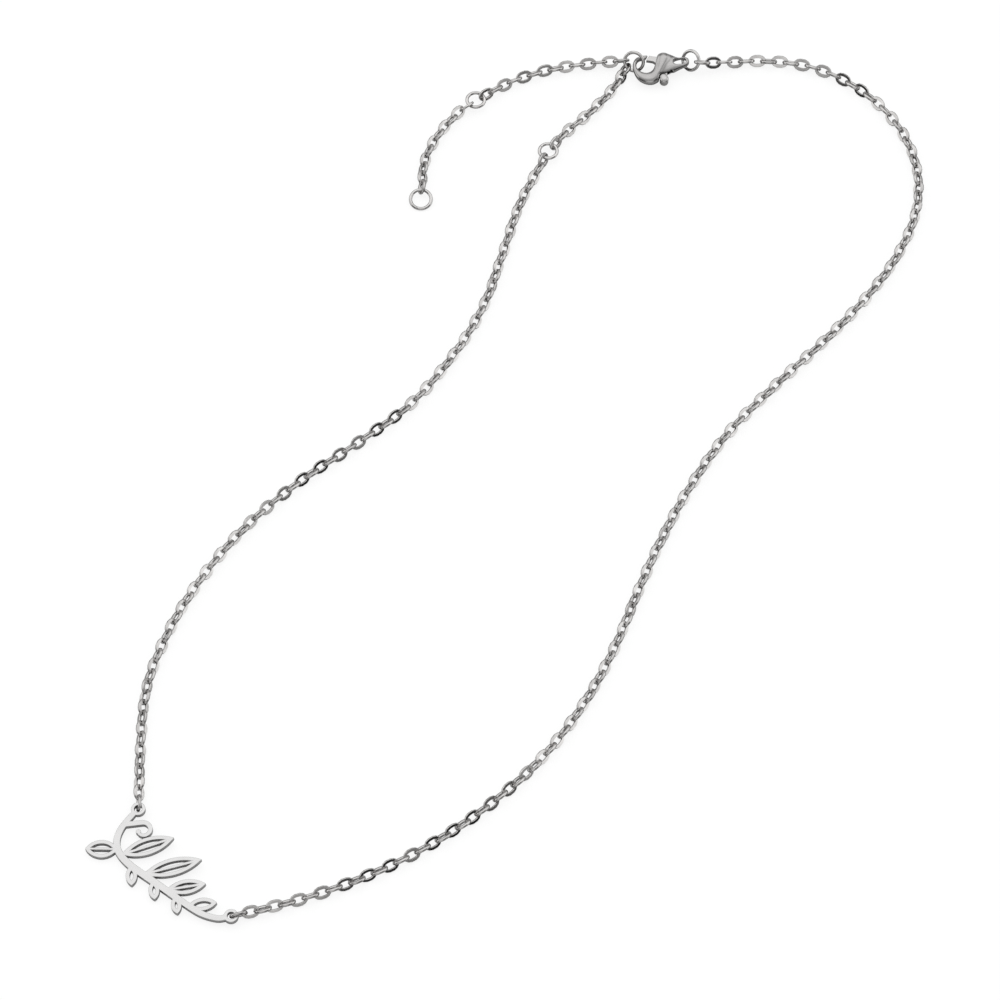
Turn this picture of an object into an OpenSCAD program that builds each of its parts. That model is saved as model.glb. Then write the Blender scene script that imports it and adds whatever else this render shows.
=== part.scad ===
// Nameplate necklace lying on a table: a pierced plate between two lengths of cable chain, closed
// by a lobster clasp that hooks an adjustable end with spare rings and an end ring.
// Lengths are millimetres and angles are degrees. The table is z = 0, and +Y is the wearer's side.

/* [Chain] */
// Outside length of a chain link
link_l = 3.24; // [3.2:0.02:3.4]
// Outside width of a chain link
link_w = 2.34; // [2.24:0.02:2.6]
// Wire diameter of a chain link
link_wire = 0.5; // [0.4:0.02:0.52]
// Clearance between neighbouring links
link_gap = 0.18; // [0.17:0.01:0.2]
// Roll of a link from lying flat, taken to one side and the other in turn
link_roll = 45; // [40:1:50]
// Most that one link's roll strays from that
roll_stray = 6; // [0:1:8]
// Roll of the last link where a run ends on a lying ring
ring_link_roll = 60; // [56:1:66]
// Roll of the last link where a run ends in an eyelet of the plate
eyelet_link_roll = 75; // [68:1:80]

/* [Rings] */
// Wire diameter of every jump ring
ring_wire = 0.6; // [0.5:0.02:0.62]
// Outside diameter of the two spare rings in the adjustable end
spare_ring_d = 3.8; // [3.7:0.1:4.4]
// Outside diameter of the ring at the free end
end_ring_d = 4.3; // [4:0.1:5]
// Outside diameter of the rings on the clasp's hook and tail
clasp_ring_d = 4.1; // [4:0.05:4.3]

/* [Plate] */
// Distance between the centres of the plate's two eyelets
plate_span = 25.6; // [24.5:0.1:26.5]
// Depth of the flourish below the line between the eyelets
plate_depth = 11; // [10:0.1:12]
// Thickness of the plate
plate_t = 0.9; // [0.7:0.05:0.95]
// Widest part of the vine's stem
stem_w = 1.3; // [1.1:0.05:1.5]
// Rim left round each pierced leaf
leaf_rim = 0.68; // [0.6:0.02:0.72]
// Width of a leaf's vein
vein_w = 0.45; // [0.4:0.05:0.55]
// Width of a tendril at its root
tendril_w = 0.95; // [0.8:0.05:1.1]
// Outside diameter of an eyelet
eyelet_d = 2.4; // [2.3:0.05:2.7]
// Hole diameter of an eyelet
eyelet_hole_d = 1.3; // [1.25:0.05:1.45]
// How far the plate's middle sags below the links in its eyelets
plate_drop = 0.04; // [0.03:0.01:0.06]

/* [Clasp] */
// Length of the clasp from hook to tail
clasp_l = 10.5; // [10:0.1:11]
// Width of the clasp from its cheek to the tip of the thumb nub
clasp_w = 6.3; // [6:0.1:6.6]
// Thickness of the clasp over its cheeks
clasp_t = 3; // [2.8:0.1:3.2]
// Thickness of the lever
lever_t = 0.9; // [0.8:0.05:1]
// Thickness of the thumb nub
nub_t = 2; // [1.6:0.1:2.2]
// Diameter of the rivet that the lever turns on
rivet_d = 0.7; // [0.6:0.05:0.8]
// Radial clearance of the lever on its rivet
rivet_gap = 0.03; // [0.02:0.01:0.06]
// Clearance between the lever and the clasp's body
lever_gap = 0.1; // [0.08:0.01:0.14]
// Angle that the lever opens through
lever_open = 26; // [20:1:28]
// Width of the eye in the clasp's tail
eye_w = 1.1; // [1:0.02:1.16]
// Lean of the clasp, its far edge raised off the table
clasp_lean = 8; // [6:1:10]

/* [Hidden] */

// Where the pieces lie, chosen by hand: the plate's left eyelet, the rings and the clasp, and the
// points that each run of chain passes over between them.
EYELET_AT = [-63.8, -67.5];
PLATE_YAW = -51.3;
FIRST_RING_AT = [5.1, 67.6];
SECOND_RING_AT = [-8, 79];
END_RING_AT = [-17.8, 57.2];
CLASP_AT = [25.7, 86.25];
LEFT_ROUTE = [
    [-63.9, -55], [-63.3, -44], [-60, -33], [-54.5, -22], [-47, -11.5], [-38, -2.5],
    [-28, 5.5], [-19, 13.5], [-11.5, 24], [-6.5, 34], [-3.3, 44.5], [0, 56]
];
RIGHT_ROUTE = [
    [-36, -84], [-26, -80], [-16, -74.5], [-6, -67], [3, -58], [10, -48], [15.5, -37],
    [20, -25], [24, -15], [29, -4.5], [36, 7], [45, 17.5], [54, 27], [61.5, 36],
    [67, 44.5], [70.8, 54], [71.4, 64], [68.3, 73.5], [62, 81.3], [53.5, 86.4], [43.5, 87.9]
];
ADJUSTER_ROUTE = [[8.5, 72], [12.8, 76.4], [17, 81.7]];
TAIL_INNER_ROUTE = [[-1.5, 83.2], [5, 85.8], [12.5, 87.2]];
TAIL_OUTER_ROUTE = [[-11.8, 75.5], [-15.3, 70.3], [-17.2, 65]];

// Sections of the clasp's claw from its tail round to the tip of the hook, as shares of its
// length, width and thickness: inner edge x and y, outer edge x and y, thickness.
CLAW = [
    [0.503, 0.12, 0.503, 0.03, 0.22], [0.475, 0.2, 0.475, -0.07, 0.34],
    [0.4, 0.225, 0.4, -0.13, 0.4], [0.31, 0.22, 0.305, -0.19, 0.48],
    [0.22, 0.31, 0.2, -0.27, 0.6], [0.135, 0.38, 0.13, -0.32, 0.68],
    [0.06, 0.4, 0.07, -0.35, 0.74], [-0.02, 0.34, 0.01, -0.4, 0.76],
    [-0.076, 0.22, -0.05, -0.475, 0.76], [-0.108, 0.055, -0.11, -0.54, 0.74],
    [-0.14, -0.1, -0.19, -0.58, 0.68], [-0.235, -0.195, -0.31, -0.54, 0.58],
    [-0.335, -0.155, -0.43, -0.38, 0.48], [-0.405, -0.045, -0.487, -0.11, 0.4],
    [-0.42, 0.08, -0.485, 0.135, 0.36], [-0.385, 0.19, -0.425, 0.31, 0.34],
    [-0.325, 0.225, -0.325, 0.38, 0.33], [-0.262, 0.215, -0.19, 0.385, 0.32]
];
// Domes that make one leaf-shaped cheek, in the same shares: x, y, radius by width, thickness.
CHEEK = [[0.058, 0.17, 0.24, 1], [0, -0.06, 0.165, 0.94], [-0.065, -0.28, 0.085, 0.8]];
// Outline of the lever's gate and thumb arm, in the same shares.
GATE = [
    [0.06, 0.2], [-0.07, 0.29], [-0.14, 0.315], [-0.178, 0.345], [-0.246, 0.19],
    [-0.21, 0.175], [-0.13, 0.135], [-0.02, -0.02]
];
THUMB_ARM = [[-0.035, 0.05], [-0.033, -0.45], [0.075, -0.45], [0.09, -0.3], [0.103, 0.05]];
PIVOT = [0.034, 0.062];
EYE_ENDS = [[0.27, 0.06], [0.395, 0.078]];

// Leaves of the plate, as shares of its span and depth: root x and y, angle, length by span,
// width by span, and 1 where the leaf has a vein.
LEAVES = [
    [0.15, -0.64, 229, 0.215, 0.128, 1], [0.195, -0.66, 70, 0.36, 0.124, 1],
    [0.4, -0.6, 66, 0.39, 0.124, 1], [0.585, -0.49, 60, 0.26, 0.105, 1],
    [0.765, -0.4, 57, 0.19, 0.092, 0], [0.3, -0.65, -36, 0.145, 0.076, 0],
    [0.48, -0.55, -33, 0.135, 0.072, 0], [0.66, -0.455, -30, 0.125, 0.068, 0]
];
// Tendrils of the plate, in the same shares: root x and y, angle at the root, length of the
// stalk by span, radius of the curl by span, and 1 or -1 for the way it curls.
TENDRILS = [[0.03, -0.33, 57, 0.125, 0.055, -1]];
STEM = [
    [0.002, -0.04], [0.02, -0.22], [0.048, -0.42], [0.1, -0.58], [0.18, -0.665],
    [0.29, -0.66], [0.42, -0.59], [0.565, -0.505], [0.72, -0.42], [0.86, -0.325],
    [0.955, -0.185], [0.992, -0.05]
];
// How deep the lowest edge of the plate lies, by its depth
PLATE_LOW = 1.06;

// Two domes that make the thumb nub, in the clasp's shares: x, y, radius by width.
NUB = [[0.014, -0.42, 0.105], [0.022, -0.478, 0.126]];
pivot = share(PIVOT);
hub_r = 0.12 * clasp_w;
nub_crown = 1.2;
sweep_steps = 6;
claw_sides = 14;

curve_steps = 8;
climb_l = 3 * link_l;
link_pitch = link_l - 2 * link_wire - link_gap;
link_bow_r = (link_w - link_wire) / 2;
ring_rest_z = rest_z(ring_link_roll);
plate_rest_z = rest_z(eyelet_link_roll) - plate_t / 2 - plate_drop;
plate_lean = asin(plate_rest_z / (PLATE_LOW * plate_depth));
CLASP_FRAME = [6.5, clasp_lean];
clasp_z = clasp_t * 0.37 + clasp_w * 0.545 * sin(clasp_lean);

HOOK_RING_FRAME = [-18, 56];
TAIL_RING_FRAME = [-48, 52];
HOOK_RING_LIFT = 0.17;
END_RING_FRAME = [0, asin((ring_rest_z - ring_wire / 2) / (2 * ring_r(end_ring_d)))];
// Where a link meets a standing ring: the angle round the ring and the link's roll
TAIL_RING_MEET = [22, 42];
HOOK_RING_MEET_LOW = [230, -36];
HOOK_RING_MEET_SIDE = [190, -60];
hook_ring_at = standing_at([-0.455, 0.205], HOOK_RING_FRAME) + [0, 0, HOOK_RING_LIFT];
tail_ring_at = standing_at([0.533, 0.0905], TAIL_RING_FRAME);
end_ring_at = [each END_RING_AT, ring_wire / 2 + ring_r(end_ring_d) * sin(END_RING_FRAME[1])];

// Where the runs end
ring_reach = link_l / 2 - link_wire - ring_wire / 2 - 0.9 * link_gap;
eyelet_r = (eyelet_d + eyelet_hole_d) / 4;
eyelet_wall = (eyelet_d - eyelet_hole_d) / 4;
eyelet_reach = (link_l - link_w) / 2 - eyelet_wall + 0.2 * (link_w / 2 - link_wire);
left_eyelet = [EYELET_AT, eyelet_r, eyelet_reach, eyelet_link_roll];
right_eyelet = [EYELET_AT + plate_span * [cos(PLATE_YAW), sin(PLATE_YAW)],
    eyelet_r, eyelet_reach, eyelet_link_roll];
first_ring = [FIRST_RING_AT, ring_r(spare_ring_d), ring_reach, ring_link_roll];
second_ring = [SECOND_RING_AT, ring_r(spare_ring_d), ring_reach, ring_link_roll];
end_ring = [END_RING_AT, ring_r(end_ring_d), ring_reach, ring_link_roll];
tail_ring = standing_end(tail_ring_at, TAIL_RING_FRAME, TAIL_RING_MEET);
hook_ring_low = standing_end(hook_ring_at, HOOK_RING_FRAME, HOOK_RING_MEET_LOW);
hook_ring_side = standing_end(hook_ring_at, HOOK_RING_FRAME, HOOK_RING_MEET_SIDE);

// Curves

function unit(v) = v / norm(v);

function between(p0, p1, p2, p3, t) =
    (2 * p1 + (p2 - p0) * t + (2 * p0 - 5 * p1 + 4 * p2 - p3) * t * t
        + (3 * p1 - p0 - 3 * p2 + p3) * t * t * t) / 2;

function smooth_curve(p, steps = curve_steps) =
    let (last = len(p) - 1, before = 2 * p[0] - p[1], after = 2 * p[last] - p[last - 1]) [
        for (i = [0:last - 1], k = [0:steps - 1])
            between(i > 0 ? p[i - 1] : before, p[i], p[i + 1],
                i + 2 > last ? after : p[i + 2], k / steps),
        p[last]
    ];

function run_lengths(c, i = 0, s = 0) =
    i == len(c) - 1 ? [s] : concat([s], run_lengths(c, i + 1, s + norm(c[i + 1] - c[i])));

function along(c, lengths, s) = [
    for (axis = [0, 1]) lookup(s, [for (i = [0:len(c) - 1]) [lengths[i], c[i][axis]]])
];

// A frame is a yaw and a lean: a piece is leant about its own x axis and then yawed.

function turned(frame, p) =
    let (y = p[1] * cos(frame[1]) - p[2] * sin(frame[1]))
    [
        p[0] * cos(frame[0]) - y * sin(frame[0]),
        p[0] * sin(frame[0]) + y * cos(frame[0]),
        p[1] * sin(frame[1]) + p[2] * cos(frame[1])
    ];

module placed(at, frame) {
    translate(at) rotate([frame[1], 0, frame[0]]) children();
}

// Jump rings

function ring_r(d) = (d - ring_wire) / 2;

module jump_ring(d) {
    rotate_extrude($fn = 40) translate([ring_r(d), 0]) circle(d = ring_wire, $fn = 16);
}

module ring_first() {
    color("silver") placed([each FIRST_RING_AT, ring_rest_z], [0, 0]) jump_ring(spare_ring_d);
}

module ring_second() {
    color("silver") placed([each SECOND_RING_AT, ring_rest_z], [0, 0]) jump_ring(spare_ring_d);
}

module ring_end() {
    color("silver") placed(end_ring_at, END_RING_FRAME) jump_ring(end_ring_d);
}

module ring_hook() {
    color("silver") placed(hook_ring_at, HOOK_RING_FRAME) jump_ring(clasp_ring_d);
}

module ring_tail() {
    color("silver") placed(tail_ring_at, TAIL_RING_FRAME) jump_ring(clasp_ring_d);
}

// Chain: flattened oval links, each at right angles to the next

module link() {
    for (end = [-1, 1])
        translate([end * (link_l - link_w) / 2, 0, 0])
            rotate([0, 0, -90 * end])
                rotate_extrude(angle = 180, $fn = 24)
                    translate([link_bow_r, 0]) circle(d = link_wire, $fn = 16);
    for (side = [-1, 1])
        translate([0, side * link_bow_r, 0])
            rotate([0, 90, 0]) cylinder(d = link_wire, h = link_l - link_w, center = true, $fn = 16);
}

// Where a ring that stands on the table by the clasp has its centre
function standing_at(p, frame) =
    [each CLASP_AT, ring_wire / 2 + ring_r(clasp_ring_d) * sin(frame[1])]
        + turned([CLASP_FRAME[0], 0], [each share(p), 0]);

function rest_z(roll) = link_bow_r * abs(sin(roll)) + link_wire / 2;
function climb(s) = s < climb_l ? (1 - s / climb_l) ^ 2 : 0;

// An end of a run is the centre of the ring or eyelet that it goes round, the radius to the
// middle of that wire, how far the last link's centre stays from it, and the roll of that link.
// A ring that stands up is met at one point of its wire instead, with a height and no radius.

function met(end, toward) =
    let (c = [end[0][0], end[0][1]]) c + end[1] * unit(toward - c);
function end_z(end) = len(end[0]) == 3 ? end[0][2] : rest_z(end[3]);

function standing_end(at, frame, meet) = [
    at + turned(frame, ring_r(clasp_ring_d) * [cos(meet[0]), sin(meet[0]), 0]), 0, ring_reach, meet[1]
];

function roll_of(i, count, first, last) =
    i == 0 ? first : i == count ? abs(last)
    : link_roll + (i == 1 || i == count - 1 ? 0 : roll_stray * sin(i * 137.5));

module chain_run(points, first, last) {
    curve = smooth_curve(concat([met(first, points[0])], points, [met(last, points[len(points) - 1])]));
    lengths = run_lengths(curve);
    total = lengths[len(lengths) - 1];
    s0 = first[2];
    s1 = total - last[2];
    count = ceil((s1 - s0) / link_pitch);
    low_z = rest_z(link_roll);
    rise = [end_z(first) - low_z, end_z(last) - low_z];
    for (i = [0:count]) {
        s = s0 + (s1 - s0) * i / count;
        side = (count - i) % 2 == 0 ? sign(last[3]) : -sign(last[3]);
        roll = side * roll_of(i, count, first[3], last[3]);
        lift = rise[0] * climb(s - s0) + rise[1] * climb(s1 - s);
        tilt = 2 / climb_l * (rise[1] * sqrt(climb(s1 - s)) - rise[0] * sqrt(climb(s - s0)));
        end_link = i == 0 || i == count;
        z = end_link ? low_z + lift : rest_z(roll) + max(lift, 0);
        at = along(curve, lengths, s);
        ahead = along(curve, lengths, s + link_l / 4) - along(curve, lengths, s - link_l / 4);
        translate([at[0], at[1], z])
            rotate([0, z - rest_z(roll) > 0.1 ? -atan(tilt) : 0, atan2(ahead[1], ahead[0])])
                rotate([roll, 0, 0]) link();
    }
}

module chain_left() {
    color("silver") chain_run(LEFT_ROUTE, left_eyelet, first_ring);
}

module chain_right() {
    color("silver") chain_run(RIGHT_ROUTE, right_eyelet, tail_ring);
}

module chain_adjuster() {
    color("silver") chain_run(ADJUSTER_ROUTE, first_ring, hook_ring_low);
}

module chain_tail_inner() {
    color("silver") chain_run(TAIL_INNER_ROUTE, second_ring, hook_ring_side);
}

module chain_tail_outer() {
    color("silver") chain_run(TAIL_OUTER_ROUTE, second_ring, end_ring);
}

// Plate: a vine with pierced leaves and tendrils, cut from one sheet

function on_plate(p) = [p[0] * plate_span, p[1] * plate_depth];

function stroke(curve, widths) =
    let (last = len(curve) - 1,
        rows = [
            for (i = [0:last])
                let (d = unit(curve[min(i + 1, last)] - curve[max(i - 1, 0)]),
                    w = lookup(i / last, widths) / 2)
                [curve[i] + w * [-d[1], d[0]], curve[i] - w * [-d[1], d[0]]]
        ])
    concat([for (r = rows) r[0]], [for (i = [last:-1:0]) rows[i][1]]);

module leaf(row) {
    length = row[3] * plate_span;
    half = row[4] * plate_span / 2;
    r = (length ^ 2 / 4 + half ^ 2) / (2 * half);
    hole_tip = sqrt((r - leaf_rim) ^ 2 - (r - half) ^ 2);
    translate(on_plate(row)) rotate(row[2]) translate([length / 2, 0]) {
        linear_extrude(plate_t) difference() {
            lens(r, half);
            lens(r, half - leaf_rim, leaf_rim);
        }
        if (row[5] == 1)
            translate([-length / 2, -vein_w / 2, 0])
                cube([length / 2 + hole_tip + vein_w / 2, vein_w, plate_t]);
    }
}

// Overlap of two circles whose middles stand so far apart that it is twice half_w wide
module lens(r, half_w, inset = 0) {
    intersection() {
        translate([0, r - half_w - inset]) circle(r - inset, $fn = 96);
        translate([0, half_w + inset - r]) circle(r - inset, $fn = 96);
    }
}

module tendril(row) {
    root = on_plate(row);
    stalk = row[3] * plate_span;
    curl_r = row[4] * plate_span;
    way = row[5];
    heading = [cos(row[2]), sin(row[2])];
    side = way * [-heading[1], heading[0]];
    eye = root + stalk * heading + curl_r * side;
    curl = [
        for (t = [0:15:255])
            eye + curl_r * (1 - t / 640) * (cos(t) * -side + sin(t) * heading)
    ];
    curve = concat([for (t = [0:0.25:0.75]) root + t * stalk * heading], curl);
    linear_extrude(plate_t)
        polygon(stroke(curve, [[0, tendril_w], [0.6, tendril_w * 0.75], [1, tendril_w * 0.6]]));
    translate(curl[len(curl) - 1]) cylinder(d = tendril_w * 0.9, h = plate_t, $fn = 24);
}

module vine() {
    linear_extrude(plate_t)
        polygon(stroke(smooth_curve([for (p = STEM) on_plate(p)], 5),
            [[0, stem_w * 0.75], [0.5, stem_w], [1, stem_w * 0.75]]));
    for (row = LEAVES) leaf(row);
    for (row = TENDRILS) tendril(row);
    for (x = [0, plate_span]) translate([x, 0]) cylinder(d = eyelet_d, h = plate_t, $fn = 48);
}

module nameplate() {
    color("gainsboro")
        placed([each EYELET_AT, plate_rest_z], [PLATE_YAW, plate_lean])
            difference() {
                union() vine();
                for (x = [0, plate_span])
                    translate([x, 0, plate_t / 2])
                        cylinder(d = eyelet_hole_d, h = plate_t * 2, center = true, $fn = 48);
            }
}

// Clasp: a cast claw with leaf-shaped cheeks, and the lever that turns on a rivet between them

function share(p) = [p[0] * clasp_l, p[1] * clasp_w];
function on_clasp(p) = [each CLASP_AT, clasp_z] + turned(CLASP_FRAME, p);

function claw_ring(row) =
    let (inner = share(row), outer = share([row[2], row[3]]),
        mid = (inner + outer) / 2, half = (inner - outer) / 2)
    [
        for (a = [0:360 / claw_sides:359])
            let (c = cos(a), s = sin(a), x = sign(c) * abs(c) ^ 0.85)
            [mid[0] + x * half[0], mid[1] + x * half[1],
                sign(s) * abs(s) ^ 0.85 * row[4] * clasp_t / 2]
    ];

module claw() {
    rings = [for (row = smooth_curve(CLAW, 3)) claw_ring(row)];
    n = len(rings);
    polyhedron(
        [for (ring = rings) each ring],
        [
            [for (k = [claw_sides - 1:-1:0]) k],
            for (i = [0:n - 2], k = [0:claw_sides - 1])
                let (a = i * claw_sides + k, b = i * claw_sides + (k + 1) % claw_sides)
                each [[a, b, a + claw_sides], [b, b + claw_sides, a + claw_sides]],
            [for (k = [0:claw_sides - 1]) (n - 1) * claw_sides + k]
        ]
    );
}

module cheeks() {
    hull() for (d = CHEEK)
        translate(share(d)) scale([1, 1, d[3] * clasp_t / 2 / (d[2] * clasp_w)])
            sphere(r = d[2] * clasp_w, $fn = 24);
}

module lever_outline() {
    translate(pivot) circle(r = hub_r, $fn = 32);
    polygon([for (p = GATE) share(p)]);
    polygon([for (p = THUMB_ARM) share(p)]);
}

module nub_outline() {
    for (p = NUB) translate(share(p)) circle(r = p[2] * clasp_w, $fn = 32);
}

// Each dome is a short round bar whose two ends are crowned by one larger ball each
module nub() {
    for (p = NUB)
        let (bar_r = p[2] * clasp_w, crown_r = nub_crown * max(bar_r, nub_t / 2))
            translate(share(p)) intersection() {
                cylinder(r = bar_r, h = 2 * nub_t, center = true, $fn = 32);
                translate([0, 0, nub_t / 2 - crown_r]) sphere(r = crown_r, $fn = 48);
                translate([0, 0, crown_r - nub_t / 2]) sphere(r = crown_r, $fn = 48);
            }
}

// Room for an outline and its clearance through the whole of the lever's swing
module swept() {
    for (i = [0:sweep_steps])
        translate(pivot) rotate(lever_open * i / sweep_steps) translate(-pivot)
            offset(r = lever_gap, $fn = 16) children();
}

module lever_room() {
    linear_extrude(lever_t + 2 * lever_gap, center = true) swept() lever_outline();
    linear_extrude(nub_t + 2 * lever_gap, center = true) swept() nub_outline();
}

module tail_eye() {
    ends = [for (p = EYE_ENDS) share(p)];
    for (p = ends) translate(p) cylinder(d = eye_w, h = clasp_t, center = true, $fn = 32);
    translate(ends[0]) rotate(atan2(ends[1][1] - ends[0][1], ends[1][0] - ends[0][0]))
        translate([0, -eye_w / 2, -clasp_t / 2]) cube([norm(ends[1] - ends[0]), eye_w, clasp_t]);
}

module clasp_body() {
    color("darkgray") placed([each CLASP_AT, clasp_z], CLASP_FRAME) {
        difference() {
            union() {
                claw();
                cheeks();
            }
            lever_room();
            tail_eye();
        }
        translate(pivot) cylinder(d = rivet_d, h = clasp_t * 0.8, center = true, $fn = 32);
    }
}

module clasp_lever() {
    color("darkgray") placed([each CLASP_AT, clasp_z], CLASP_FRAME)
        difference() {
            union() {
                linear_extrude(lever_t, center = true) lever_outline();
                nub();
            }
            translate(pivot)
                cylinder(d = rivet_d + 2 * rivet_gap, h = clasp_t, center = true, $fn = 32);
        }
}

nameplate();
chain_left();
chain_right();
chain_adjuster();
chain_tail_inner();
chain_tail_outer();
ring_first();
ring_second();
ring_end();
ring_hook();
ring_tail();
clasp_body();
clasp_lever();
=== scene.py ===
import math

import bmesh
import bpy
import numpy
from mathutils import Matrix, Vector


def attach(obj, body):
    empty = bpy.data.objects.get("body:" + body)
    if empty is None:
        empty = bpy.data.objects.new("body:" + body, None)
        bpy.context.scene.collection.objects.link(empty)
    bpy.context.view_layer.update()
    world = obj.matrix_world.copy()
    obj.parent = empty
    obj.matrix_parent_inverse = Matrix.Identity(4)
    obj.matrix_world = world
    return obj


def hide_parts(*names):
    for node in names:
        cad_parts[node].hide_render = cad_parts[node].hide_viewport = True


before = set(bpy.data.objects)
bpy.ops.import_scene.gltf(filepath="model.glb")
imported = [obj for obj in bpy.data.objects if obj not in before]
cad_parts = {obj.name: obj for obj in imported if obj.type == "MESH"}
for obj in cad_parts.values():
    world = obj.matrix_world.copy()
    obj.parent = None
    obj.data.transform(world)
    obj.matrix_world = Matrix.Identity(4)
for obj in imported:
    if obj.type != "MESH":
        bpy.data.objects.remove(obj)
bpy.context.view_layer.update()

# The table, the light and the camera.
# A white table top under an even white studio, with darker walls low down that give the metal
# its dark lines. A long lens looks along +Y and down at the necklace.

table_size = 3.0
table_tone_for_light = 0.48
table_tone_for_camera = 0.15
table_glow_for_camera = 0.837

table_mesh = bpy.data.meshes.new("table")
table_top = bmesh.new()
bmesh.ops.create_grid(table_top, x_segments=1, y_segments=1, size=table_size / 2)
table_top.to_mesh(table_mesh)
table_top.free()
table = bpy.data.objects.new("table", table_mesh)
bpy.context.scene.collection.objects.link(table)

table_paint = bpy.data.materials.new("table paint")
table_paint.use_nodes = True
table_nodes, table_links = table_paint.node_tree.nodes, table_paint.node_tree.links
table_shader = table_nodes["Principled BSDF"]
ray_kind = table_nodes.new("ShaderNodeLightPath")
for socket_name, tone_for_light, tone_for_camera in (
    ("Base Color", table_tone_for_light, table_tone_for_camera),
    ("Emission Color", 0.0, table_glow_for_camera),
):
    by_ray = table_nodes.new("ShaderNodeMix")
    by_ray.data_type = "RGBA"
    by_ray.inputs["A"].default_value = (tone_for_light, tone_for_light, tone_for_light, 1)
    by_ray.inputs["B"].default_value = (tone_for_camera, tone_for_camera, tone_for_camera, 1)
    table_links.new(ray_kind.outputs["Is Camera Ray"], by_ray.inputs["Factor"])
    table_links.new(by_ray.outputs["Result"], table_shader.inputs[socket_name])
table_shader.inputs["Emission Strength"].default_value = 1.0
table_shader.inputs["Roughness"].default_value = 0.9
table_shader.inputs["Specular IOR Level"].default_value = 0.0
table_mesh.materials.append(table_paint)

studio = bpy.data.worlds.new("studio")
studio.use_nodes = True
bpy.context.scene.world = studio
sky, sky_links = studio.node_tree.nodes, studio.node_tree.links
direction = sky.new("ShaderNodeTexCoord")
direction_parts = sky.new("ShaderNodeSeparateXYZ")
sky_links.new(direction.outputs["Generated"], direction_parts.inputs[0])


def studio_step(value, low, high, dark, light):
    """A soft step from dark to light as a value goes from low to high"""
    step = sky.new("ShaderNodeMapRange")
    step.interpolation_type = "SMOOTHSTEP"
    sky_links.new(value, step.inputs["Value"])
    for name, number in (("From Min", low), ("From Max", high), ("To Min", dark), ("To Max", light)):
        step.inputs[name].default_value = number
    return step.outputs["Result"]


def studio_sum(kind, first, second):
    """Two values of the studio's light put together"""
    both = sky.new("ShaderNodeMath")
    both.operation = kind
    for number, value in enumerate((first, second)):
        if isinstance(value, (int, float)):
            both.inputs[number].default_value = value
        else:
            sky_links.new(value, both.inputs[number])
    return both.outputs[0]


# The walls' tone by degrees from straight behind the necklace, the same on the left and the right.
wall_tones = (
    (0, 0.55), (30, 0.2), (48, 0.9), (105, 1.0), (115, 0.02), (146, 0.02), (160, 0.6), (180, 0.75)
)
wall_strength = 1.65
bearing = studio_sum(
    "ABSOLUTE", studio_sum("ARCTAN2", direction_parts.outputs["X"], direction_parts.outputs["Y"]), 0.0
)
walls = sky.new("ShaderNodeValToRGB")
walls.color_ramp.interpolation = "EASE"
for stop, (_, tone) in zip(walls.color_ramp.elements, (wall_tones[0], wall_tones[-1])):
    stop.color = (tone, tone, tone, 1)
for degrees, tone in wall_tones[1:-1]:
    walls.color_ramp.elements.new(degrees / 180).color = (tone, tone, tone, 1)
sky_links.new(studio_sum("DIVIDE", bearing, math.pi), walls.inputs["Fac"])
wall_light = studio_sum("MULTIPLY", walls.outputs["Color"], wall_strength)

# The ceiling begins above the walls. A large soft box stands out from it, over the necklace's far end.
walls_end, ceiling_starts = 0.48, 0.68
soft_box_way = (0, 0.47, 0.883)
soft_box_edge, soft_box_core = 0.62, 0.92
ceiling_tone, soft_box_tone = 0.72, 1.64
ceiling = studio_step(direction_parts.outputs["Z"], walls_end, ceiling_starts, 0.0, 1.0)
soft_box = sky.new("ShaderNodeVectorMath")
soft_box.operation = "DOT_PRODUCT"
soft_box.inputs[1].default_value = soft_box_way
sky_links.new(direction.outputs["Generated"], soft_box.inputs[0])
ceiling_light = studio_step(
    soft_box.outputs["Value"], soft_box_edge, soft_box_core, ceiling_tone, soft_box_tone
)
studio_light = sky.new("ShaderNodeMix")
studio_light.data_type = "FLOAT"
sky_links.new(ceiling, studio_light.inputs["Factor"])
sky_links.new(wall_light, studio_light.inputs["A"])
sky_links.new(ceiling_light, studio_light.inputs["B"])
sky_links.new(studio_light.outputs["Result"], sky["Background"].inputs["Strength"])
sky["Background"].inputs["Color"].default_value = (1, 1, 1, 1)

# A weak, very broad light from behind on the left lays a soft shadow and shows in no reflection.
window_light = bpy.data.lights.new("window", "SUN")
window_light.energy = 0.45
window_light.angle = math.radians(70)
window = bpy.data.objects.new("window", window_light)
window.visible_glossy = False
window.rotation_euler = (math.radians(-28), math.radians(-24), 0)
bpy.context.scene.collection.objects.link(window)

view_point = Vector((-0.0036, -0.0060, 0.0))
view_distance = 0.8934
view_elevation = math.radians(58)
lens = bpy.data.cameras.new("lens")
lens.lens = 185.9
lens.sensor_width = 36
lens.clip_start = 0.05
lens.clip_end = 20
camera = bpy.data.objects.new("camera", lens)
view_back = Vector((0, -math.cos(view_elevation), math.sin(view_elevation)))
camera.location = view_point + view_distance * view_back
camera.rotation_euler = (math.pi / 2 - view_elevation, 0, 0)
bpy.context.scene.collection.objects.link(camera)
bpy.context.scene.camera = camera
bpy.context.scene.view_settings.view_transform = "Standard"

# The metal.
# Every piece is plain stainless steel. Wear and polish are one effect: a slow change of tone and
# gloss with fine scratches, each metal with its own amounts.

cloud_scale = 420.0
cloud_pale, cloud_dark = 0.35, 0.65
grain_low, grain_high = 0.3, 0.7

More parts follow.
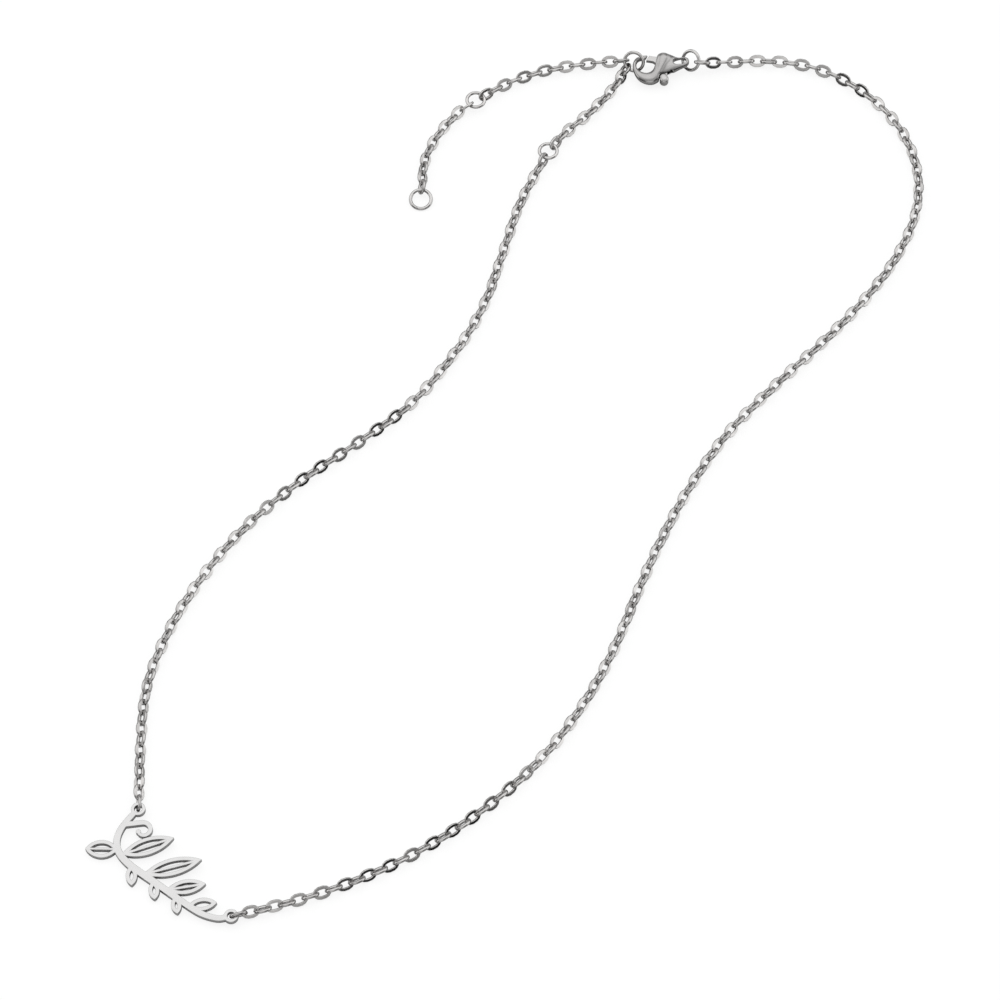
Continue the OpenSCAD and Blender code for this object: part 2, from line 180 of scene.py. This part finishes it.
wear = bpy.data.node_groups.new("steel wear", "ShaderNodeTree")
for name, kind, start in (
    ("Tone", "NodeSocketColor", (0.6, 0.6, 0.6, 1)),
    ("Shade", "NodeSocketFloat", 0.9),
    ("Gloss", "NodeSocketFloat", 0.15),
    ("Dullness", "NodeSocketFloat", 0.25),
    ("Grain", "NodeSocketFloat", 4000.0),
):
    socket = wear.interface.new_socket(name, in_out="INPUT", socket_type=kind)
    socket.default_value = start
for name, kind in (
    ("Color", "NodeSocketColor"), ("Roughness", "NodeSocketFloat"), ("Height", "NodeSocketFloat"),
):
    wear.interface.new_socket(name, in_out="OUTPUT", socket_type=kind)
wear_nodes, wear_link = wear.nodes, wear.links.new
wear_in = wear_nodes.new("NodeGroupInput")
wear_out = wear_nodes.new("NodeGroupOutput")
spot = wear_nodes.new("ShaderNodeTexCoord")

clouds = wear_nodes.new("ShaderNodeTexNoise")
clouds.inputs["Scale"].default_value = cloud_scale
clouds.inputs["Detail"].default_value = 3.0
cloud_cover = wear_nodes.new("ShaderNodeMapRange")
cloud_cover.inputs["From Min"].default_value = cloud_pale
cloud_cover.inputs["From Max"].default_value = cloud_dark
shade = wear_nodes.new("ShaderNodeCombineColor")
darker = wear_nodes.new("ShaderNodeMix")
darker.data_type = "RGBA"
darker.blend_type = "MULTIPLY"
wear_link(spot.outputs["Object"], clouds.inputs["Vector"])
wear_link(clouds.outputs["Fac"], cloud_cover.inputs["Value"])
for channel in ("Red", "Green", "Blue"):
    wear_link(wear_in.outputs["Shade"], shade.inputs[channel])
wear_link(cloud_cover.outputs["Result"], darker.inputs["Factor"])
wear_link(wear_in.outputs["Tone"], darker.inputs["A"])
wear_link(shade.outputs["Color"], darker.inputs["B"])
wear_link(darker.outputs["Result"], wear_out.inputs["Color"])

grain = wear_nodes.new("ShaderNodeTexNoise")
grain.inputs["Detail"].default_value = 4.0
gloss = wear_nodes.new("ShaderNodeMapRange")
gloss.inputs["From Min"].default_value = grain_low
gloss.inputs["From Max"].default_value = grain_high
wear_link(spot.outputs["Object"], grain.inputs["Vector"])
wear_link(wear_in.outputs["Grain"], grain.inputs["Scale"])
wear_link(grain.outputs["Fac"], gloss.inputs["Value"])
wear_link(wear_in.outputs["Gloss"], gloss.inputs["To Min"])
wear_link(wear_in.outputs["Dullness"], gloss.inputs["To Max"])
wear_link(gloss.outputs["Result"], wear_out.inputs["Roughness"])
wear_link(grain.outputs["Fac"], wear_out.inputs["Height"])


def steel(name, tone, shade, gloss, dullness, grain, dents):
    """A steel finish: its colour, its darkest share, its two roughnesses, and how fine and how deep
    its scratches are"""
    metal = bpy.data.materials.new(name)
    metal.use_nodes = True
    nodes, links = metal.node_tree.nodes, metal.node_tree.links
    shader = nodes["Principled BSDF"]
    shader.inputs["Metallic"].default_value = 1.0
    worn = nodes.new("ShaderNodeGroup")
    worn.node_tree = wear
    worn.inputs["Tone"].default_value = (*tone, 1)
    for socket_name, value in (("Shade", shade), ("Gloss", gloss), ("Dullness", dullness), ("Grain", grain)):
        worn.inputs[socket_name].default_value = value
    dent = nodes.new("ShaderNodeBump")
    dent.inputs["Strength"].default_value = 0.5
    dent.inputs["Distance"].default_value = dents
    links.new(worn.outputs["Color"], shader.inputs["Base Color"])
    links.new(worn.outputs["Roughness"], shader.inputs["Roughness"])
    links.new(worn.outputs["Height"], dent.inputs["Height"])
    links.new(dent.outputs["Normal"], shader.inputs["Normal"])
    return metal


# The chain.
# A cable chain of oval links, each at right angles to the next. The wire is round 0.5 mm steel
# pressed flat on both faces of the link, and each link passes through its neighbours.

link_length = 0.00324
link_width = 0.00234
wire = 0.0005
inward = 0.00034
outward = 0.000225
half_flat = 0.00024
flank = 0.0001
fullness = 0.65
hole_narrowing = 0.9
steps_round = 14
flat_face = 0.95

# The pressed wire's six corners: how far out from its middle, and how far up.
wire_outline = [
    (-inward, 0), (flank - inward, half_flat), (outward - flank, half_flat),
    (outward, 0), (outward - flank, -half_flat), (flank - inward, -half_flat),
]
bow = (link_width - wire) / 2
stretch = (link_length - link_width) / 2

link = bmesh.new()
wire_corners = [link.verts.new((bow + across, 0, up)) for across, up in wire_outline]
wire_edges = [
    link.edges.new((corner, wire_corners[number - 1])) for number, corner in enumerate(wire_corners)
]
bmesh.ops.spin(
    link, geom=wire_corners + wire_edges, cent=(0, 0, 0), axis=(0, 0, 1),
    angle=math.tau, steps=steps_round, use_merge=True
)
for corner in link.verts:
    if corner.co.xy.length < bow:
        corner.co.y *= hole_narrowing
    lengthwise = corner.co.xy.normalized().x
    corner.co.x += math.copysign(stretch * abs(lengthwise) ** fullness, lengthwise)
bmesh.ops.recalc_face_normals(link, faces=link.faces)
for side in link.faces:
    side.smooth = abs(side.normal.z) < flat_face
link_mesh = bpy.data.meshes.new("link")
link.to_mesh(link_mesh)
link.free()


def loose_solids(node):
    """The faces of each loose solid in a node, each as its middle and its area"""
    solid = bmesh.new()
    solid.from_mesh(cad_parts[node].data)
    bmesh.ops.remove_doubles(solid, verts=solid.verts, dist=1e-7)
    waiting = set(solid.faces)
    found = []
    while waiting:
        group, to_visit = [], [waiting.pop()]
        while to_visit:
            face = to_visit.pop()
            group.append(face)
            for corner in face.verts:
                for near in corner.link_faces:
                    if near in waiting:
                        waiting.discard(near)
                        to_visit.append(near)
        found.append([(f.calc_center_median(), f.calc_area()) for f in group])
    solid.free()
    return found


def lie_of(faces):
    """How a flat round or oval solid lies: its long way becomes X and its thin way Z"""
    middles = numpy.array([m[:] for m, _ in faces])
    areas = numpy.array([a for _, a in faces])
    middle = (middles * areas[:, None]).sum(0) / areas.sum()
    spread = numpy.einsum("i,ij,ik->jk", areas, middles - middle, middles - middle)
    ways = numpy.linalg.eigh(spread)[1].T
    long_way, thin_way = Vector(ways[2]), Vector(ways[0])
    if thin_way.z < 0:
        thin_way = -thin_way
    cross_way = thin_way.cross(long_way)
    turn = Matrix((long_way, cross_way, thin_way)).transposed().to_4x4()
    return Matrix.Translation(middle) @ turn


chain_steel = steel(
    "chain steel", (0.495, 0.485, 0.478), shade=0.75, gloss=0.08, dullness=0.16, grain=5200.0, dents=0.00001
)
for chain_name in ("chain_left", "chain_right", "chain_adjuster", "chain_tail_inner", "chain_tail_outer"):
    run = bmesh.new()
    for faces in loose_solids(chain_name):
        corners_before = len(run.verts)
        run.from_mesh(link_mesh)
        run.verts.ensure_lookup_table()
        bmesh.ops.transform(run, matrix=lie_of(faces), verts=run.verts[corners_before:])
    chain_mesh = bpy.data.meshes.new(chain_name + "_links")
    run.to_mesh(chain_mesh)
    run.free()
    chain_mesh.materials.append(chain_steel)
    chain = bpy.data.objects.new(chain_name + "_links", chain_mesh)
    bpy.context.scene.collection.objects.link(chain)
    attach(chain, "necklace")
    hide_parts(chain_name)

# The jump rings.
# Round 0.6 mm steel wire bent to a ring and closed with a butt joint, of which a fine line shows.
# Two lie flat in the chain, one ends the tail and two stand in the clasp's hook and eye.

ring_wire = 0.0006
joint_gap = math.radians(1.2)
joint_round = 0.00003
ring_steps = 56
ring_sides = 14
ring_steel = steel(
    "ring steel", (0.526, 0.515, 0.508), shade=0.80, gloss=0.08, dullness=0.16, grain=5200.0, dents=0.00001
)
for ring_name, ring_width, joint_at in (
    ("ring_first", 0.0038, 200), ("ring_second", 0.0038, 80), ("ring_end", 0.0043, 250),
    ("ring_hook", 0.0041, 60), ("ring_tail", 0.0041, 300),
):
    ring = bmesh.new()
    section = bmesh.ops.create_circle(ring, cap_ends=True, radius=ring_wire / 2, segments=ring_sides)["verts"]
    bmesh.ops.rotate(ring, verts=section, cent=(0, 0, 0), matrix=Matrix.Rotation(math.pi / 2, 3, "X"))
    bmesh.ops.translate(ring, verts=section, vec=((ring_width - ring_wire) / 2, 0, 0))
    bmesh.ops.spin(
        ring, geom=ring.faces[:], cent=(0, 0, 0), axis=(0, 0, 1),
        angle=math.tau - joint_gap, steps=ring_steps
    )
    cut_ends = [face for face in ring.faces if len(face.verts) == ring_sides]
    if len(cut_ends) == 1:
        bmesh.ops.holes_fill(ring, edges=ring.edges)
        cut_ends = [face for face in ring.faces if len(face.verts) == ring_sides]
    bmesh.ops.recalc_face_normals(ring, faces=ring.faces)
    rims = {edge for face in cut_ends for edge in face.edges}
    bmesh.ops.bevel(
        ring, geom=list(rims), offset=joint_round, segments=2, profile=0.5, affect="EDGES", material=-1
    )
    for face in ring.faces:
        face.smooth = True
    turn = lie_of(loose_solids(ring_name)[0]) @ Matrix.Rotation(math.radians(joint_at), 4, "Z")
    bmesh.ops.transform(ring, matrix=turn, verts=ring.verts)
    ring_mesh = bpy.data.meshes.new(ring_name + "_wire")
    ring.to_mesh(ring_mesh)
    ring.free()
    ring_mesh.materials.append(ring_steel)
    ring_piece = bpy.data.objects.new(ring_name + "_wire", ring_mesh)
    bpy.context.scene.collection.objects.link(ring_piece)
    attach(ring_piece, "necklace")
    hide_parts(ring_name)

# The plate.
# A vine cut from 0.9 mm sheet steel. Its faces have a satin polish, and the cut edges are
# broken by tumbling, so they are a little round.

plate_edge = 0.00008
same_plane = math.radians(0.6)
cut_edge = math.radians(60)
smooth_below = math.radians(30)

plate = bmesh.new()
plate.from_mesh(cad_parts["nameplate"].data)
bmesh.ops.remove_doubles(plate, verts=plate.verts, dist=1e-6)
bmesh.ops.dissolve_limit(
    plate, angle_limit=same_plane, verts=plate.verts, edges=plate.edges, use_dissolve_boundaries=False
)
sharp = [e for e in plate.edges if len(e.link_faces) == 2 and e.calc_face_angle() > cut_edge]
bmesh.ops.bevel(
    plate, geom=sharp, offset=plate_edge, segments=3, profile=0.5, affect="EDGES", material=-1,
    clamp_overlap=False
)
plate_mesh = bpy.data.meshes.new("vine_plate")
plate.to_mesh(plate_mesh)
plate.free()
plate_mesh.shade_smooth()
plate_mesh.set_sharp_from_angle(angle=smooth_below)
plate_mesh.materials.append(steel(
    "plate steel", (0.488, 0.485, 0.483), shade=0.97, gloss=0.20, dullness=0.24, grain=900.0, dents=0.000001
))
plate_piece = bpy.data.objects.new("vine_plate", plate_mesh)
bpy.context.scene.collection.objects.link(plate_piece)
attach(plate_piece, "necklace")
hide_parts("nameplate")

# The clasp.
# A cast lobster claw with a leaf-shaped cheek on each face and a pressed lever between them. It
# is tumbled, so every edge is soft, and its surface is duller than the wire's.

clasp_steel = steel(
    "clasp steel", (0.356, 0.35, 0.346), shade=0.90, gloss=0.23, dullness=0.28, grain=900.0, dents=0.000002
)
# The lever's steel is a lighter copy of the claw's steel. This is painted light: the lighter tone stands in
# for the light that the lever's thumb nub catches.
lever_steel_painted_lighter = steel(
    "lever steel painted lighter", (0.455, 0.448, 0.443), shade=0.92, gloss=0.30, dullness=0.36, grain=900.0, dents=0.000002
)
for cast_name, body, finish, skin_size, rounds in (
    ("clasp_body", "necklace", clasp_steel, 0.00008, 80),
    ("clasp_lever", "lever", lever_steel_painted_lighter, 0.00007, 12),
):
    cast = bmesh.new()
    cast.from_mesh(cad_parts[cast_name].data)
    bmesh.ops.remove_doubles(cast, verts=cast.verts, dist=1e-6)
    cast_mesh = bpy.data.meshes.new(cast_name + "_cast")
    cast.to_mesh(cast_mesh)
    cast.free()
    cast_mesh.materials.append(finish)
    cast_piece = bpy.data.objects.new(cast_name + "_cast", cast_mesh)
    bpy.context.scene.collection.objects.link(cast_piece)
    skin = cast_piece.modifiers.new("skin", "REMESH")
    skin.mode = "VOXEL"
    skin.voxel_size = skin_size
    skin.use_smooth_shade = True
    tumbled = cast_piece.modifiers.new("tumbled", "SMOOTH")
    tumbled.factor = 0.5
    tumbled.iterations = rounds
    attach(cast_piece, body)
    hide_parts(cast_name)
